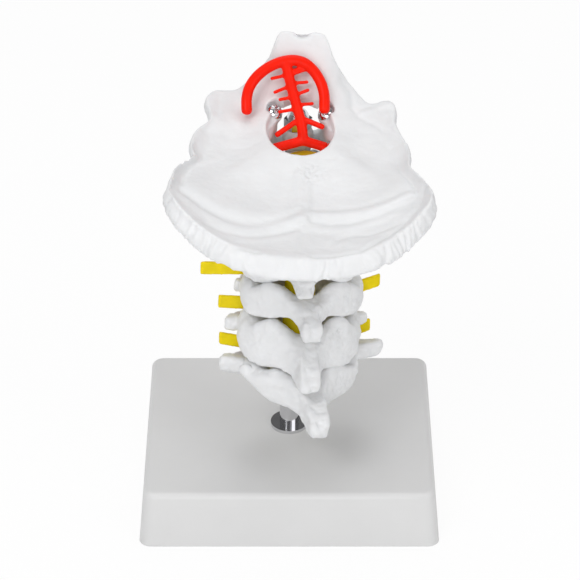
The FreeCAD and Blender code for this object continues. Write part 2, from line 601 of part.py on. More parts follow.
def axis_bone():
    """Second vertebra with the dens, from its lower endplate up."""

    def facet(y):
        """Bottom of the articular pillar, clear of the facet below it."""
        return facet_top(y) + FACET_GAP - BODY_HEIGHT / 2 - DISC_HEIGHT

    ring = mirrored_ring([
        (0.0, CANAL_FRONT + 0.5, 0.0, BODY_HALF_DEPTH, -0.5, 13.0, 0),
        (4.5, CANAL_FRONT + 0.5, 5.0, BODY_HALF_DEPTH, -0.5, 13.0, 0),
        (8.5, CANAL_FRONT + 0.5, 9.5, BODY_HALF_DEPTH - 1.5, -0.5, 14.0, 0),
        (10.0, CANAL_FRONT - 0.5, 17.5, 4.5, 4.0, 17.0, 0),
        (CANAL_HALF_WIDTH - 1, -11.0, 22.0, -4.0, 6.0, 16.0, 0),
        (CANAL_HALF_WIDTH, -14.0, 23.5, -11.0, facet(-12.5), 11.0, 0),
        (CANAL_HALF_WIDTH, -17.0, 23.5, -17.0, facet(-17.0), 9.0, 0),
        (CANAL_HALF_WIDTH - 1, -20.0, 21.5, -22.5, facet(-21.2), 8.0, 0),
        (8.5, -22.0, 14.0, -28.0, -3.0, 8.5, 0),
        (5.0, CANAL_BACK + 1.4, 8.0, -31.0, -2.0, 9.0, 0),
        (3.0, CANAL_BACK + 0.6, 6.0, -34.0, -2.5, 8.5, -3),
        (1.6, CANAL_BACK + 0.2, 4.6, -38.5, -3.0, 7.0, -5),
        (0.0, CANAL_BACK, 0.0, -36.0, -3.0, 7.0, -5),
    ])
    processes = [transverse_ring(side, 9.5, -1.0, 6.0, (FORAMEN_X, FORAMEN_Y, 6.0)) for side in (1, -1)]
    tops = axis_joint(0, True)
    lower_seat = Part.makeBox(30, 20, 5, Vector(-15, CANAL_FRONT - 1.5, -5))
    profile = Part.BSplineCurve()
    profile.interpolate([
        Vector(DENS_WIDEST_RADIUS, 0, 10.0),
        Vector(DENS_WAIST_RADIUS, 0, 15.5),
        Vector(DENS_WIDEST_RADIUS, 0, 22.0),
        Vector(NUT_ACROSS_FLATS / 2, 0, AXIS_HEIGHT),
    ])
    wire = Part.Wire([
        profile.toShape(),
        Part.makeLine(Vector(NUT_ACROSS_FLATS / 2, 0, AXIS_HEIGHT), Vector(0, 0, AXIS_HEIGHT)),
        Part.makeLine(Vector(0, 0, AXIS_HEIGHT), Vector(0, 0, 10.0)),
        Part.makeLine(Vector(0, 0, 10.0), Vector(DENS_WIDEST_RADIUS, 0, 10.0)),
    ])
    dens = Part.Face(wire).revolve(Vector(0, 0, 0), UP, 360)
    bore = Part.makeCylinder(BONE_BORE_RADIUS, 60, Vector(0, 0, -20))
    bone = ring.fuse(processes).cut([tops, lower_seat]).fuse(dens).cut(bore)
    return placed(bone, column_placement(AXIS_START, AXIS_YAW))


def atlas_bone():
    """First vertebra: a ring round the dens, with seats for the condyles."""
    ring = mirrored_ring([
        (0.0, DENS_WIDEST_RADIUS + 1.4, 0.0, 13.8, -5.5, 3.5, 0),
        (4.5, DENS_WIDEST_RADIUS + 0.9, 5.0, 13.2, -5.5, 3.5, 0),
        (8.2, 5.0, 11.0, 11.5, -5.0, 4.0, 0),
        (9.6, 1.0, 18.5, 8.5, -7.5, 14.5, 0),
        (10.6, -4.0, 22.0, 0.5, -8.0, 16.5, 0),
        (12.0, -8.5, 20.5, -7.5, -6.0, 14.0, 0),
        (13.0, -13.0, 18.0, -13.5, -3.0, 3.6, 0),
        (12.0, -18.0, 16.0, -21.0, -3.5, 4.0, 0),
        (8.5, -23.0, 11.0, -26.5, -4.0, 4.5, 0),
        (4.5, -25.5, 5.5, -30.0, -4.5, 5.0, 0),
        (0.0, -26.0, 0.0, -31.5, -5.0, 5.5, 0),
    ])
    processes = [transverse_ring(side, 10.5, 0.0, 7.0, (25.5, -3.0, -0.5)) for side in (1, -1)]
    frame = column_placement(AXIS_START + ATLAS_RISE, ATLAS_YAW)
    bone = placed(ring.fuse(processes), frame)
    below = placed(axis_joint(JOINT_GAP, False), column_placement(AXIS_START, AXIS_YAW))
    return bone.cut([below, condyle_sphere(JOINT_GAP)])


def plate_placement():
    atlas_centre = column_placement(AXIS_START + ATLAS_RISE).Base
    tilt = Rotation(Vector(0, 1, 0), PLATE_ROLL) * Rotation(Vector(1, 0, 0), PLATE_PITCH)
    return Placement(atlas_centre + Vector(PLATE_X, PLATE_Y, PLATE_RISE), tilt)


def condyle_sphere(gap):
    """Ball whose lower side is the joint between condyles and atlas."""
    centre = Vector(0, CONDYLE_Y, CONDYLE_SPHERE_RADIUS - CONDYLE_DEPTH - 3.5)
    ball = Part.makeSphere(CONDYLE_SPHERE_RADIUS + gap, centre)
    return placed(ball, plate_placement())


def screw_frame(side):
    """Seat of a screw head in the plate's frame, with z out of the head."""
    turn = Rotation(Vector(1, 0, 0), SCREW_FORWARD) * Rotation(Vector(0, 1, 0), -side * SCREW_OUTWARD)
    return Placement(Vector(side * SCREW_X, SCREW_Y, SCREW_Z), turn)


def plate_section(station, side):
    """Section of the plate from the foramen out to its edge and back underneath."""
    x, y, edge_z, inset, thickness, bowl, ridge, ridge_place = station
    shifted = y - MAGNUM_SHIFT
    direction = math.atan2(shifted, x)
    reach = math.hypot(x, shifted)
    start = MAGNUM_HALF_WIDTH * MAGNUM_HALF_LENGTH / math.hypot(
        MAGNUM_HALF_LENGTH * math.cos(direction), MAGNUM_HALF_WIDTH * math.sin(direction))
    inner = reach - inset
    under = min(thickness, 6.0)
    lip = BASION_LIFT * max(0.0, math.sin(direction)) ** 2

    def at(distance, z):
        return Vector(side * distance * math.cos(direction), MAGNUM_SHIFT + distance * math.sin(direction), z)

    points = [at(start, lip - 2.0), at(start + 0.2, lip + 0.3)]
    for before, beyond, bowl_share, ridge_share in TOP_ROWS:
        share = before * ridge_place + beyond * (1 - ridge_place)
        z = lip * (1 - share) + edge_z * share - bowl * bowl_share + ridge * ridge_share
        points.append(at(start + (inner - start) * share, z))
    points.append(at(inner, edge_z))
    points.append(at(inner + inset * 0.25, edge_z - 0.2))
    points.append(at(reach, edge_z - thickness * 0.62))
    points.append(at(reach - 0.4, edge_z - thickness))
    for share in UNDER_ROWS:
        bowl_share = math.sin(math.pi * share)
        depth = under * 0.8 + (thickness - under * 0.8) * share ** 2
        z = lip * (1 - share) + edge_z * share - bowl * bowl_share - depth
        points.append(at(start + (inner - start) * share, z))
    points.append(at(start + 0.2, lip - under * 0.75))
    return points


def occipital_plate():
    right = [plate_section(station, 1) for station in [PLATE_FRONT] + PLATE_RIGHT + [PLATE_BACK]]
    left = [plate_section(station, -1) for station in PLATE_LEFT]
    plate = closed_surface(right + left[::-1])
    frame = plate_placement()
    ball = condyle_sphere(0)
    additions = []
    cuts = []
    for side in (1, -1):
        ellipse = Part.Ellipse(Vector(0, 0, 0), CONDYLE_HALF_LENGTH, CONDYLE_HALF_WIDTH)
        column = Part.Face(Part.Wire(ellipse.toShape())).extrude(Vector(0, 0, -30))
        column.Placement = Placement(
            Vector(side * CONDYLE_X, CONDYLE_Y, -CONDYLE_ROOT), Rotation(UP, 90 + side * CONDYLE_SPLAY))
        boss = Part.makeCylinder(SCREW_BOSS_DIAMETER / 2, SCREW_BOSS_LENGTH, Vector(0, 0, -SCREW_BOSS_LENGTH))
        seat = frame.multiply(screw_frame(side))
        additions.append(placed(column, frame).common(ball))
        additions.append(placed(boss, seat))
        cuts.append(placed(Part.makeCylinder(SCREW_BOSS_DIAMETER / 2, 12), seat))
        cuts.append(screw_hole(side))
    return placed(plate, frame).fuse(additions).cut(cuts)


def screw_hole(side):
    """Clearance hole for a screw's shank, a little longer than the screw."""
    depth = SCREW_LENGTH + SCREW_HOLE_SPARE
    hole = Part.makeCylinder(SCREW_DIAMETER / 2 + SCREW_CLEARANCE, depth, Vector(0, 0, -depth))
    return placed(hole, plate_placement().multiply(screw_frame(side)))


def condyle_screw(side):
    """Dome-headed screw along -z of its seat."""
    shank = Part.makeCylinder(SCREW_DIAMETER / 2, SCREW_LENGTH - SCREW_DIAMETER, Vector(0, 0, -SCREW_LENGTH + SCREW_DIAMETER))
    tip = Part.makeCone(0.4, SCREW_DIAMETER / 2, SCREW_DIAMETER, Vector(0, 0, -SCREW_LENGTH))
    head_radius = SCREW_HEAD_DIAMETER / 2
    sphere_radius = (head_radius ** 2 + SCREW_HEAD_HEIGHT ** 2) / (2 * SCREW_HEAD_HEIGHT)
    ball = Part.makeSphere(sphere_radius, Vector(0, 0, SCREW_HEAD_HEIGHT - sphere_radius))
    head = ball.common(Part.makeCylinder(head_radius, SCREW_HEAD_HEIGHT))
    screw = shank.fuse([tip, head]).removeSplitter()
    return placed(screw, plate_placement().multiply(screw_frame(side)))


def tree_point(point):
    """World point of a place in the tilted plane of the artery tree."""
    x, height, stand_off = point
    angle = math.radians(TREE_ANGLE)
    return plate_placement().Base + Vector(
        TREE_X + x,
        TREE_Y + height * math.cos(angle) - stand_off * math.sin(angle),
        TREE_RISE + height * math.sin(angle) + stand_off * math.cos(angle),
    )


def branch(route, radius, free_ends):
    """Tube of the tree with its free ends rounded off."""
    points = [tree_point(point) for point in route]
    tube = tube_along(points, radius)
    ends = [point for point, free in zip((points[0], points[-1]), free_ends) if free]
    rims = [edge for edge in tube.Edges for end in ends if edge.CenterOfMass.distanceToPoint(end) < 0.01]
    return tube.makeFillet(radius * BRANCH_END_ROUNDING, rims) if rims else tube


def basilar_arteries():
    """Arch, stem, fork and branches as one tree."""
    fork = STEM_ROUTE[-1]
    pieces = [
        branch(STEM_ROUTE, STEM_RADIUS, (False, False)),
        Part.makeSphere(FORK_KNOT_RADIUS, tree_point(fork)),
        branch(ARCH_ROUTE, ARCH_RADIUS, (True, True)),
    ]
    for end in FORK_ENDS:
        pieces.append(branch([fork, end], FORK_RADIUS, (False, False)))
    for route in THIN_BRANCHES:
        pieces.append(branch(route, THIN_BRANCH_RADIUS, (False, True)))
    for route in TWIGS:
        pieces.append(branch(route, TWIG_RADIUS, (False, True)))
    return pieces[0].fuse(pieces[1:])


def vertebral_artery(side, clearance=0.0):
    """Tube up through the side holes, over the atlas and in to the fork."""
    points = []
    for name in ("c6", "c5", "c4", "c3"):
        frame = body_frame(VERTEBRAE[name])
        if not points:
            points.append(frame.multVec(Vector(side * FORAMEN_X, FORAMEN_Y, -LEVEL / 2)))
        points.append(frame.multVec(Vector(side * FORAMEN_X, FORAMEN_Y, 0.0)))
    axis_frame = column_placement(AXIS_START, AXIS_YAW)
    points.append(axis_frame.multVec(Vector(side * FORAMEN_X, FORAMEN_Y, 2.0)))
    atlas = column_placement(AXIS_START + ATLAS_RISE, ATLAS_YAW)
    points.append(atlas.multVec(Vector(side * 25.4, -3.0, -3.0)))
    points.append(atlas.multVec(Vector(side * 25.4, -4.5, 6.5)))
    points.append(atlas.multVec(Vector(side * 21.0, -14.5, 9.0)))
    end = tree_point(FORK_ENDS[0] if side < 0 else FORK_ENDS[1])
    fork = tree_point(STEM_ROUTE[-1])
    direction = (end - fork).normalize()
    points.append(end + direction * 4.0)
    points.append(end)
    return tube_along(points, ARTERY_RADIUS + clearance)


def strap(points, clearance):
    """Flat nerve root along points, upright in section, grown all round by a clearance."""
    tall = Vector(0, 0, NERVE_HEIGHT / 2 + clearance)
    sections = []
    for index, point in enumerate(points):
        before = points[max(index - 1, 0)]
        after = points[min(index + 1, len(points) - 1)]
        along = Vector(after.x - before.x, after.y - before.y, 0).normalize()
        across = Vector(-along.y, along.x, 0) * (NERVE_THICKNESS / 2 + clearance)
        corners = [point + across + tall, point - across + tall, point - across - tall, point + across - tall]
        sections.append(Part.makePolygon(corners + corners[:1]))
    return Part.makeLoft(sections, True, True)


def nerve_roots(size, clearance=0.0):
    """Left and right nerve root that leave the canal above one vertebra."""
    roots = []
    for side, (reach, tip_z) in zip((-1, 1), size["nerve"]):
        route = [
            (2.0, -14.9, NERVE_ROOT_Z),
            (8.0, -13.0, NERVE_ROOT_Z),
            (12.6, -10.4, NERVE_ROOT_Z),
            (19.0, -7.4, (NERVE_ROOT_Z + tip_z) / 2),
            (reach + clearance, -6.0, tip_z),
        ]
        roots.append(placed(strap([Vector(side * x, y, z) for x, y, z in route], clearance), body_frame(size)))
    return roots


def spinal_cord():
    """Cord through the canals, with a pair of nerve roots above each body."""
    sections = []
    length = AXIS_START + CORD_RISE_ABOVE_AXIS - CORD_START
    for step in range(CORD_SECTIONS):
        frame = column_placement(CORD_START + length * step / (CORD_SECTIONS - 1), CORD_YAW)
        frame = frame.multiply(Placement(Vector(0, CORD_Y, 0), Rotation()))
        ellipse = Part.Ellipse(Vector(0, 0, 0), CORD_WIDTH / 2, CORD_DEPTH / 2)
        sections.append(placed(Part.Wire(ellipse.toShape()), frame))
    cord = Part.makeLoft(sections, True)
    roots = []
    for size in VERTEBRAE.values():
        roots += nerve_roots(size)
    return cord.fuse(roots)


def main():
    os.makedirs("parts", exist_ok=True)
    roof = BASE_HEIGHT - BASE_TOP_WALL
    washer_bottom = roof - BOSS_DEPTH - WASHER_THICKNESS
    nut_bottom = washer_bottom - NUT_THICKNESS
    nut_seat = AXIS_START + AXIS_HEIGHT
    nodes = {
        "base_shell": base_shell(),
        "base_washer": washer(WASHER_DIAMETER, WASHER_THICKNESS, washer_bottom),
        "base_nut": placed(hexagon_nut(), Placement(Vector(0, 0, nut_bottom), Rotation())),
        "column_rod": column_rod(nut_bottom - ROD_END_BELOW_NUT, nut_seat + CAP_NUT_HEIGHT - CAP_NUT_ROOF),
        "tube_flange": washer(FLANGE_DIAMETER, FLANGE_THICKNESS, BASE_TOP),
        "spacer_tube": washer(TUBE_DIAMETER, TUBE_LENGTH, BASE_TOP + FLANGE_THICKNESS),
        "dens_nut": placed(cap_nut(), column_placement(nut_seat, AXIS_YAW)),
        "axis_c2": axis_bone(),
        "atlas_c1": atlas_bone(),
        "occipital_plate": occipital_plate(),
        "spinal_cord": spinal_cord(),
        "basilar_arteries": basilar_arteries(),
        "vertebral_artery_left": vertebral_artery(-1),
        "vertebral_artery_right": vertebral_artery(1),
        "condyle_screws": Part.makeCompound([condyle_screw(1), condyle_screw(-1)]),
    }
    names = list(VERTEBRAE)
    for index, name in enumerate(names):
        nodes["vertebra_" + name] = vertebra(VERTEBRAE[name], VERTEBRAE[names[index - 1]] if index else None)
        above = names[index + 1] if index + 1 < len(names) else None
        nodes["disc_" + (above or "c2") + "_" + name] = disc(
            VERTEBRAE[name], VERTEBRAE[above] if above else None)
    sleeves = [vertebral_artery(side, SOFT_CLEARANCE) for side in (1, -1)]
    nodes["axis_c2"] = nodes["axis_c2"].cut(sleeves + nerve_roots(VERTEBRAE["c3"], SOFT_CLEARANCE))
    nodes["atlas_c1"] = nodes["atlas_c1"].cut(sleeves + [screw_hole(1), screw_hole(-1)])
    nodes["occipital_plate"] = nodes["occipital_plate"].cut(sleeves)
    for name, shape in nodes.items():
        print(name, shape.isValid(), len(shape.Solids), round(shape.Volume), shape.BoundBox)
        shape.exportStep("parts/" + name + ".step")


main()
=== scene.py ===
import math

import bmesh
import bpy
from mathutils import Matrix, Vector, noise


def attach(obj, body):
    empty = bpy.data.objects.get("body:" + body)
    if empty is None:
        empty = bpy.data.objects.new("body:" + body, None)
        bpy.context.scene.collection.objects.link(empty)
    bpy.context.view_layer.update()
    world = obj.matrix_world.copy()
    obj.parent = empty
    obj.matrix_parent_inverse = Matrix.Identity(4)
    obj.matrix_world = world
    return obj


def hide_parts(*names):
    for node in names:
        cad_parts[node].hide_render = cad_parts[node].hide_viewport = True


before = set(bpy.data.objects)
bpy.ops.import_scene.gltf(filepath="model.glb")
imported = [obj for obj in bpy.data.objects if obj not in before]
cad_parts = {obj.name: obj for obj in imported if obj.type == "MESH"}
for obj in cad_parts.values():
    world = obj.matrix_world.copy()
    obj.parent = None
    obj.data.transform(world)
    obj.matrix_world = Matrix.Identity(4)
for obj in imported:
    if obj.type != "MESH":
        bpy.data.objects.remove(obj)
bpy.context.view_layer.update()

# Neck vertebrae with the occipital plate, cord and arteries, on a rod and a moulded base.
# Metres, +Z up, +Y towards the front of the neck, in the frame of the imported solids.

bl_info = {
    "name": "Neck Spine Model",
    "version": (1, 0, 0),
    "blender": (4, 5, 0),
    "location": "View3D > Sidebar > Spine",
    "description": "Builds the finished neck spine model around its solids",
    "category": "Object",
}

MM = 0.001

# Frame of the occipital plate: the centre of the foramen magnum, pitched and rolled
PLATE_ORIGIN = Vector((4.4, -4.0, 173.5)) * MM
PLATE_PITCH = 5.0
PLATE_ROLL = 2.0
PLATE_SEED = 9
OUTLINE_BINS = 360

# Rough seam round the back of the plate (mm): where it starts behind the foramen, how it
# fades in there and at its inner side, and the radius at which the ridge pitch is counted
SEAM_START = 40.0
SEAM_START_FADE = 8.0
SEAM_INNER_FADE = 1.2
SEAM_RADIUS = 78.0

# Screw heads, in the plate's frame: seat of the right one (mm) and how its axis leans
SCREW_SEAT = (10.4, 11.5, -2.0)
SCREW_OUTWARD = 27.0
SCREW_FORWARD = 12.0

# Cross recess of a screw head (mm): only above this height and inside this radius
CROSS_BOTTOM = 0.8
CROSS_RADIUS = 2.3
CROSS_DEPTH = 1.1
CROSS_HALF_WIDTH = 0.75
CROSS_WALL = 0.3

# Size of the lumps and the grain of cast bone (mm)
LUMP_SIZE = 5.0
GRAIN_SIZE = 1.9

# Camera of the photo, in metres and degrees
CAMERA_PLACE = (0.0003, -0.962, 0.7176)
CAMERA_TILT = 57.0
CAMERA_LENS = 172.06
CAMERA_SENSOR = 36.0

# Light: name, place, diameter and watts of each lamp, and the level of the room
LAMP_TARGET = (0.0, 0.0, 0.1)
LAMPS = (
    ("key", (-0.55, -0.75, 1.15), 0.7, 5.8),
    ("fill", (0.75, -0.6, 0.8), 0.8, 2.8),
    ("front", (-0.1, -1.25, 0.35), 0.8, 3.9),
    ("top", (0.0, 0.35, 1.2), 0.9, 4.2),
)
ROOM_LEVEL = 0.42
# What reflections see from the horizon up: height share and grey
ROOM_WALL = ((0.3, (1.0, 1.0, 1.0, 1.0)), (0.42, (0.05, 0.05, 0.055, 1.0)), (0.9, (0.3, 0.3, 0.3, 1.0)))
FLOOR_HALF_SIZE = 6.0
FLOOR_GLOW = 0.92

# Faint lines on the inner face of the plate, in its frame: points, half width, height (mm)
PLATE_LINES = (
    (((-38, -57.5), (-30.4, -61), (-22.8, -62.5), (-15.2, -61.8), (-9, -60), (-3.9, -57), (1.5, -54.5)),
     2.2, -0.4),
    (((-46, -55.3), (-39.7, -59.3), (-33.4, -63.9), (-27.3, -67), (-19.7, -67.6), (-12, -65.8), (0, -60.4)),
     2.7, 0.64),
    (((-34.8, -69.4), (-27.9, -72), (-20.4, -72.6), (-13.6, -71), (-7.6, -68.6), (-1.6, -66.5)), 1.8, -0.48),
    (((-21, -77), (-13.6, -74.4), (-4.6, -71.5), (0, -69)), 2.3, 0.4),
    (((3, -52.3), (19.9, -52), (27.5, -50.6), (35, -48.3), (42, -46)), 2.2, -0.4),
    (((4.5, -56.3), (15.2, -56), (23.6, -55.6), (30.4, -54.2), (36.5, -52), (42, -49.5)), 2.6, 0.64),
    (((4.5, -61), (13, -61.8), (20.5, -61), (28.8, -58.8), (36.4, -55.2), (43.4, -50.7)), 1.7, -0.56),
    (((6, -65.4), (13.6, -65.6), (21.2, -64.4), (29, -62), (37, -58.5)), 2.3, 0.48),
    (((9.7, -79.3), (14.3, -72.1), (19.6, -69.3), (25.6, -70), (30.8, -68.6), (36.8, -66)), 1.7, -0.56),
    (((16.8, -76.3), (22.4, -76.8), (28, -75.9)), 3.4, 0.48),
    (((3.1, -36.2), (3.1, -43.7), (3, -50.8), (2.2, -61)), 1.4, 0.4),
    (((1.1, -69), (0.6, -77.9), (-0.1, -84)), 1.7, -0.64),
    (((17, 22), (20.5, 20), (21.3, 13.6), (24, 8.9), (30.5, 3.8), (37, -3.3), (41, -10)), 1.7, -0.48),
    (((25, 11.5), (30.8, 15.4), (36, 17)), 1.7, 0.48),
    (((-32.3, 20.4), (-32.8, 11.5), (-34.6, 2), (-37.7, -5.7)), 1.6, -0.4),
    (((-51.3, -52), (-49.8, -61), (-45.7, -69.5), (-38.3, -77.5), (-27.5, -84.2), (-16, -87)), 1.4, -0.8),
    (((5, -88), (12.4, -87.2), (22, -84.8), (31, -76), (38, -69), (44.5, -58.5), (47.4, -48)), 1.4, -0.7),
)

# Rough spot behind the foramen, in the plate's frame: centre, radius, height (mm)
ROUGH_PATCH = ((3.1, -29.6), 4.6, 0.9)

# Knobs and pits of the bones: centre in the shared frame, radius and height (mm)
BONE_KNOBS = {
    "occipital_plate": (
        ((3.3, 25.2, 199.0), 2.0, -1.2), ((5.2, 25.2, 199.0), 2.0, -1.2), ((7.1, 25.2, 199.0), 2.0, -1.2),
    ),
    "vertebra_c4": (
        ((3.3, -27.0, 109.0), 2.4, -2.6), ((9.8, -26.6, 108.8), 2.4, -2.6), ((6.5, -27.0, 108.0), 0.9, 1.2),
        ((4.4, -26.6, 112.0), 1.0, 0.9), ((8.7, -26.4, 111.8), 1.0, 0.9),
    ),
    "vertebra_c5": (
        ((7.2, -32.4, 92.6), 2.6, 1.2), ((11.8, -31.4, 93.4), 2.3, 0.9), ((9.7, -32.4, 91.4), 1.2, -0.7),
        ((5.0, -28.3, 98.0), 2.2, -1.6), ((13.0, -26.0, 97.0), 2.4, -1.4),
        ((-16.0, -12.6, 102.6), 4.0, 1.6), ((-9.0, -16.6, 105.0), 4.0, 1.4), ((-3.5, -18.3, 103.6), 2.5, 1.2),
        ((15.0, -13.7, 101.2), 3.0, 1.6), ((20.5, -12.2, 102.5), 4.0, 1.8), ((25.0, -7.0, 100.0), 3.0, 1.4),
    ),
    "vertebra_c6": (
        ((7.4, -41.0, 71.6), 2.4, 1.2), ((11.0, -40.0, 73.6), 2.2, 1.0), ((9.3, -40.9, 71.6), 1.1, -0.8),
        ((9.6, -37.4, 77.4), 1.8, 0.8), ((20.4, -17.9, 84.5), 0.8, -1.5), ((-14.0, -21.1, 87.1), 2.4, 0.6),
        ((-8.7, -23.3, 86.1), 2.0, 0.5), ((16.7, -15.4, 87.2), 2.0, 0.6), ((23.7, -15.4, 84.3), 2.2, 0.6),
        ((25.0, -16.5, 76.6), 3.0, 0.5), ((14.5, -17.5, 87.2), 3.0, 1.6), ((20.8, -13.6, 87.4), 3.5, 1.6),
        ((25.6, -8.5, 83.3), 3.0, 1.6),
    ),
    "vertebra_c7": (
        ((9.6, -46.3, 55.4), 2.8, 0.9), ((14.4, -42.8, 58.6), 2.8, 1.1), ((11.7, -46.8, 53.0), 1.8, 0.6),
        ((12.3, -45.2, 57.4), 1.3, -0.8), ((11.3, -38.0, 62.0), 2.0, 0.6), ((-18.2, -22.3, 68.0), 3.0, 0.5),
        ((-17.5, -20.0, 68.4), 4.0, 2.0), ((-11.2, -23.0, 67.6), 4.0, 2.2), ((-5.5, -25.5, 68.8), 4.0, 2.0),
        ((17.0, -21.5, 68.0), 3.5, 1.8), ((21.5, -17.5, 67.2), 3.5, 1.6),
    ),
}

VERTEBRA_NODES = ("vertebra_c3", "vertebra_c4", "vertebra_c5", "vertebra_c6", "vertebra_c7")
DISC_NODES = ("disc_c6_c7", "disc_c5_c6", "disc_c4_c5", "disc_c3_c4", "disc_c2_c3")
METAL_NODES = ("column_rod", "tube_flange", "spacer_tube", "dens_nut", "base_washer", "base_nut")
ARTERY_NODES = ("basilar_arteries", "vertebral_artery_left", "vertebral_artery_right")


# Sizes and colours

def length_property(name, description, default, low):
    """Property for a length, given in millimetres and kept in metres."""
    return bpy.props.FloatProperty(
        name=name, description=description, default=default * MM, min=low * MM, unit="LENGTH", precision=5)


def colour_property(name, description, colour):
    """Property for the main colour of a material."""
    return bpy.props.FloatVectorProperty(
        name=name, description=description, subtype="COLOR", size=3, default=colour, min=0.0, max=1.0)


class SpineSizes(bpy.types.PropertyGroup):
    """Fineness and relief of the finished pieces"""

    bone_voxel: length_property("Bone fineness", "Edge of the voxels of the vertebrae", 0.5, 0.3)
    plate_voxel: length_property("Plate fineness", "Edge of the voxels of the occipital plate", 0.57, 0.4)
    soft_voxel: length_property("Soft fineness", "Edge of the voxels of cord, discs and arteries", 0.45, 0.25)
    screw_voxel: length_property("Screw fineness", "Edge of the voxels of the two screws", 0.2, 0.12)
    lump_height: length_property("Lumps", "Height of the broad lumps of the bone", 0.6, 0.0)
    grain_height: length_property("Grain", "Height of the fine relief of the bone", 0.12, 0.0)
    plate_lump_height: length_property("Plate lumps", "Height of the broad lumps of the plate", 0.16, 0.0)
    plate_grain_height: length_property("Plate grain", "Height of the fine relief of the plate", 0.04, 0.0)
    ridge_height: length_property("Seam ridges", "Height of the ridges across the plate's seam", 0.5, 0.0)
    ridge_pitch: length_property("Ridge pitch", "Usual distance between the ridges across the seam", 1.5, 0.5)
    seam_width: length_property("Seam width", "Width of the rough seam, from the plate's outline", 6.0, 0.0)


class SpineColours(bpy.types.PropertyGroup):
    """Colours of the finished pieces"""

    bone: colour_property("Bone", "Off-white plastic of the bones", (0.755, 0.76, 0.77))
    disc: colour_property("Discs", "Greyer plastic between the bodies", (0.62, 0.58, 0.50))
    nerve: colour_property("Cord and roots", "Yellow rubber of the cord", (0.84, 0.66, 0.008))
    artery: colour_property("Arteries", "Red rubber of the arteries", (0.93, 0.014, 0.002))
    base: colour_property("Base", "Light grey plastic of the base", (0.66, 0.66, 0.66))
    metal: colour_property("Metal", "Polished metal of rod, flange and screws", (0.72, 0.72, 0.74))


# Materials

def new_material(name, colour, roughness):
    """Material with a principled shader whose plain values are set on its own sockets."""
    material = bpy.data.materials.new(name)
    material.use_nodes = True
    shader = material.node_tree.nodes["Principled BSDF"]
    shader.inputs["Base Color"].default_value = (*colour, 1.0)
    shader.inputs["Roughness"].default_value = roughness
    material.diffuse_color = (*colour, 1.0)
    return material, shader


def noise_node(material, scale, detail, roughness=0.55):
    """Noise over the object's own coordinates, scale in cycles per metre."""
    nodes = material.node_tree.nodes
    place = nodes.new("ShaderNodeTexCoord")
    pattern = nodes.new("ShaderNodeTexNoise")
    pattern.inputs["Scale"].default_value = scale
    pattern.inputs["Detail"].default_value = detail
    pattern.inputs["Roughness"].default_value = roughness
    material.node_tree.links.new(place.outputs["Object"], pattern.inputs["Vector"])
    return pattern


def vary_colour(material, shader, pattern, low, high, start=0.35, stop=0.68):
    """Base colour between two tones over a pattern."""
    ramp = material.node_tree.nodes.new("ShaderNodeValToRGB")
    ramp.color_ramp.elements[0].position = start
    ramp.color_ramp.elements[0].color = (*low, 1.0)
    ramp.color_ramp.elements[1].position = stop
    ramp.color_ramp.elements[1].color = (*high, 1.0)
    material.node_tree.links.new(pattern.outputs["Fac"], ramp.inputs["Fac"])
    material.node_tree.links.new(ramp.outputs["Color"], shader.inputs["Base Color"])


def vary_roughness(material, shader, pattern, low, high):
    """Roughness between two values over a pattern."""
    span = material.node_tree.nodes.new("ShaderNodeMapRange")
    span.inputs["To Min"].default_value = low
    span.inputs["To Max"].default_value = high
    material.node_tree.links.new(pattern.outputs["Fac"], span.inputs["Value"])
    material.node_tree.links.new(span.outputs["Result"], shader.inputs["Roughness"])


def add_bump(material, shader, pattern, distance, strength):
    """Fine unevenness of the shading from a pattern."""
    bump = material.node_tree.nodes.new("ShaderNodeBump")
    bump.inputs["Distance"].default_value = distance
    bump.inputs["Strength"].default_value = strength
    material.node_tree.links.new(pattern.outputs["Fac"], bump.inputs["Height"])
    material.node_tree.links.new(bump.outputs["Normal"], shader.inputs["Normal"])


def toned(colour, factor):
    """A colour made darker by a factor."""
    return tuple(channel * factor for channel in colour)


def bone_material(colour):
    """Cast plastic, slightly waxy, with a fine grain."""
    material, shader = new_material("cast_bone", colour, 0.5)
    vary_colour(material, shader, noise_node(material, scale=70, detail=4), toned(colour, 0.95), colour)
    vary_roughness(material, shader, noise_node(material, scale=160, detail=3), 0.42, 0.6)
    add_bump(material, shader, noise_node(material, scale=900, detail=6, roughness=0.65), 0.12 * MM, 0.5)
    shader.inputs["Subsurface Weight"].default_value = 0.12
    shader.inputs["Subsurface Radius"].default_value = (1.0, 0.9, 0.8)
    shader.inputs["Subsurface Scale"].default_value = 1.2 * MM
    shader.inputs["Specular IOR Level"].default_value = 0.35
    return material


def rubber_material(name, colour, shade, roughness):
    """Flexible glossy plastic with faint clouding."""
    material, shader = new_material(name, colour, roughness)
    vary_colour(material, shader, noise_node(material, scale=220, detail=3), shade, colour)
    clouds = noise_node(material, scale=500, detail=2)
    vary_roughness(material, shader, clouds, roughness * 0.8, roughness * 1.25)
    add_bump(material, shader, noise_node(material, scale=1400, detail=4), 0.06 * MM, 0.35)
    shader.inputs["Subsurface Weight"].default_value = 0.1
    shader.inputs["Subsurface Radius"].default_value = (1.0, 0.4, 0.2)
    shader.inputs["Subsurface Scale"].default_value = 0.8 * MM
    shader.inputs["Specular IOR Level"].default_value = 0.12
    return material


def metal_material(colour):
    """Polished metal with faint smears."""
    material, shader = new_material("polished_metal", colour, 0.08)
    shader.inputs["Metallic"].default_value = 1.0
    vary_roughness(material, shader, noise_node(material, scale=240, detail=3), 0.05, 0.13)
    add_bump(material, shader, noise_node(material, scale=1500, detail=3), 0.02 * MM, 0.15)
    vary_colour(material, shader, noise_node(material, scale=120, detail=2), toned(colour, 0.94), colour)
    return material


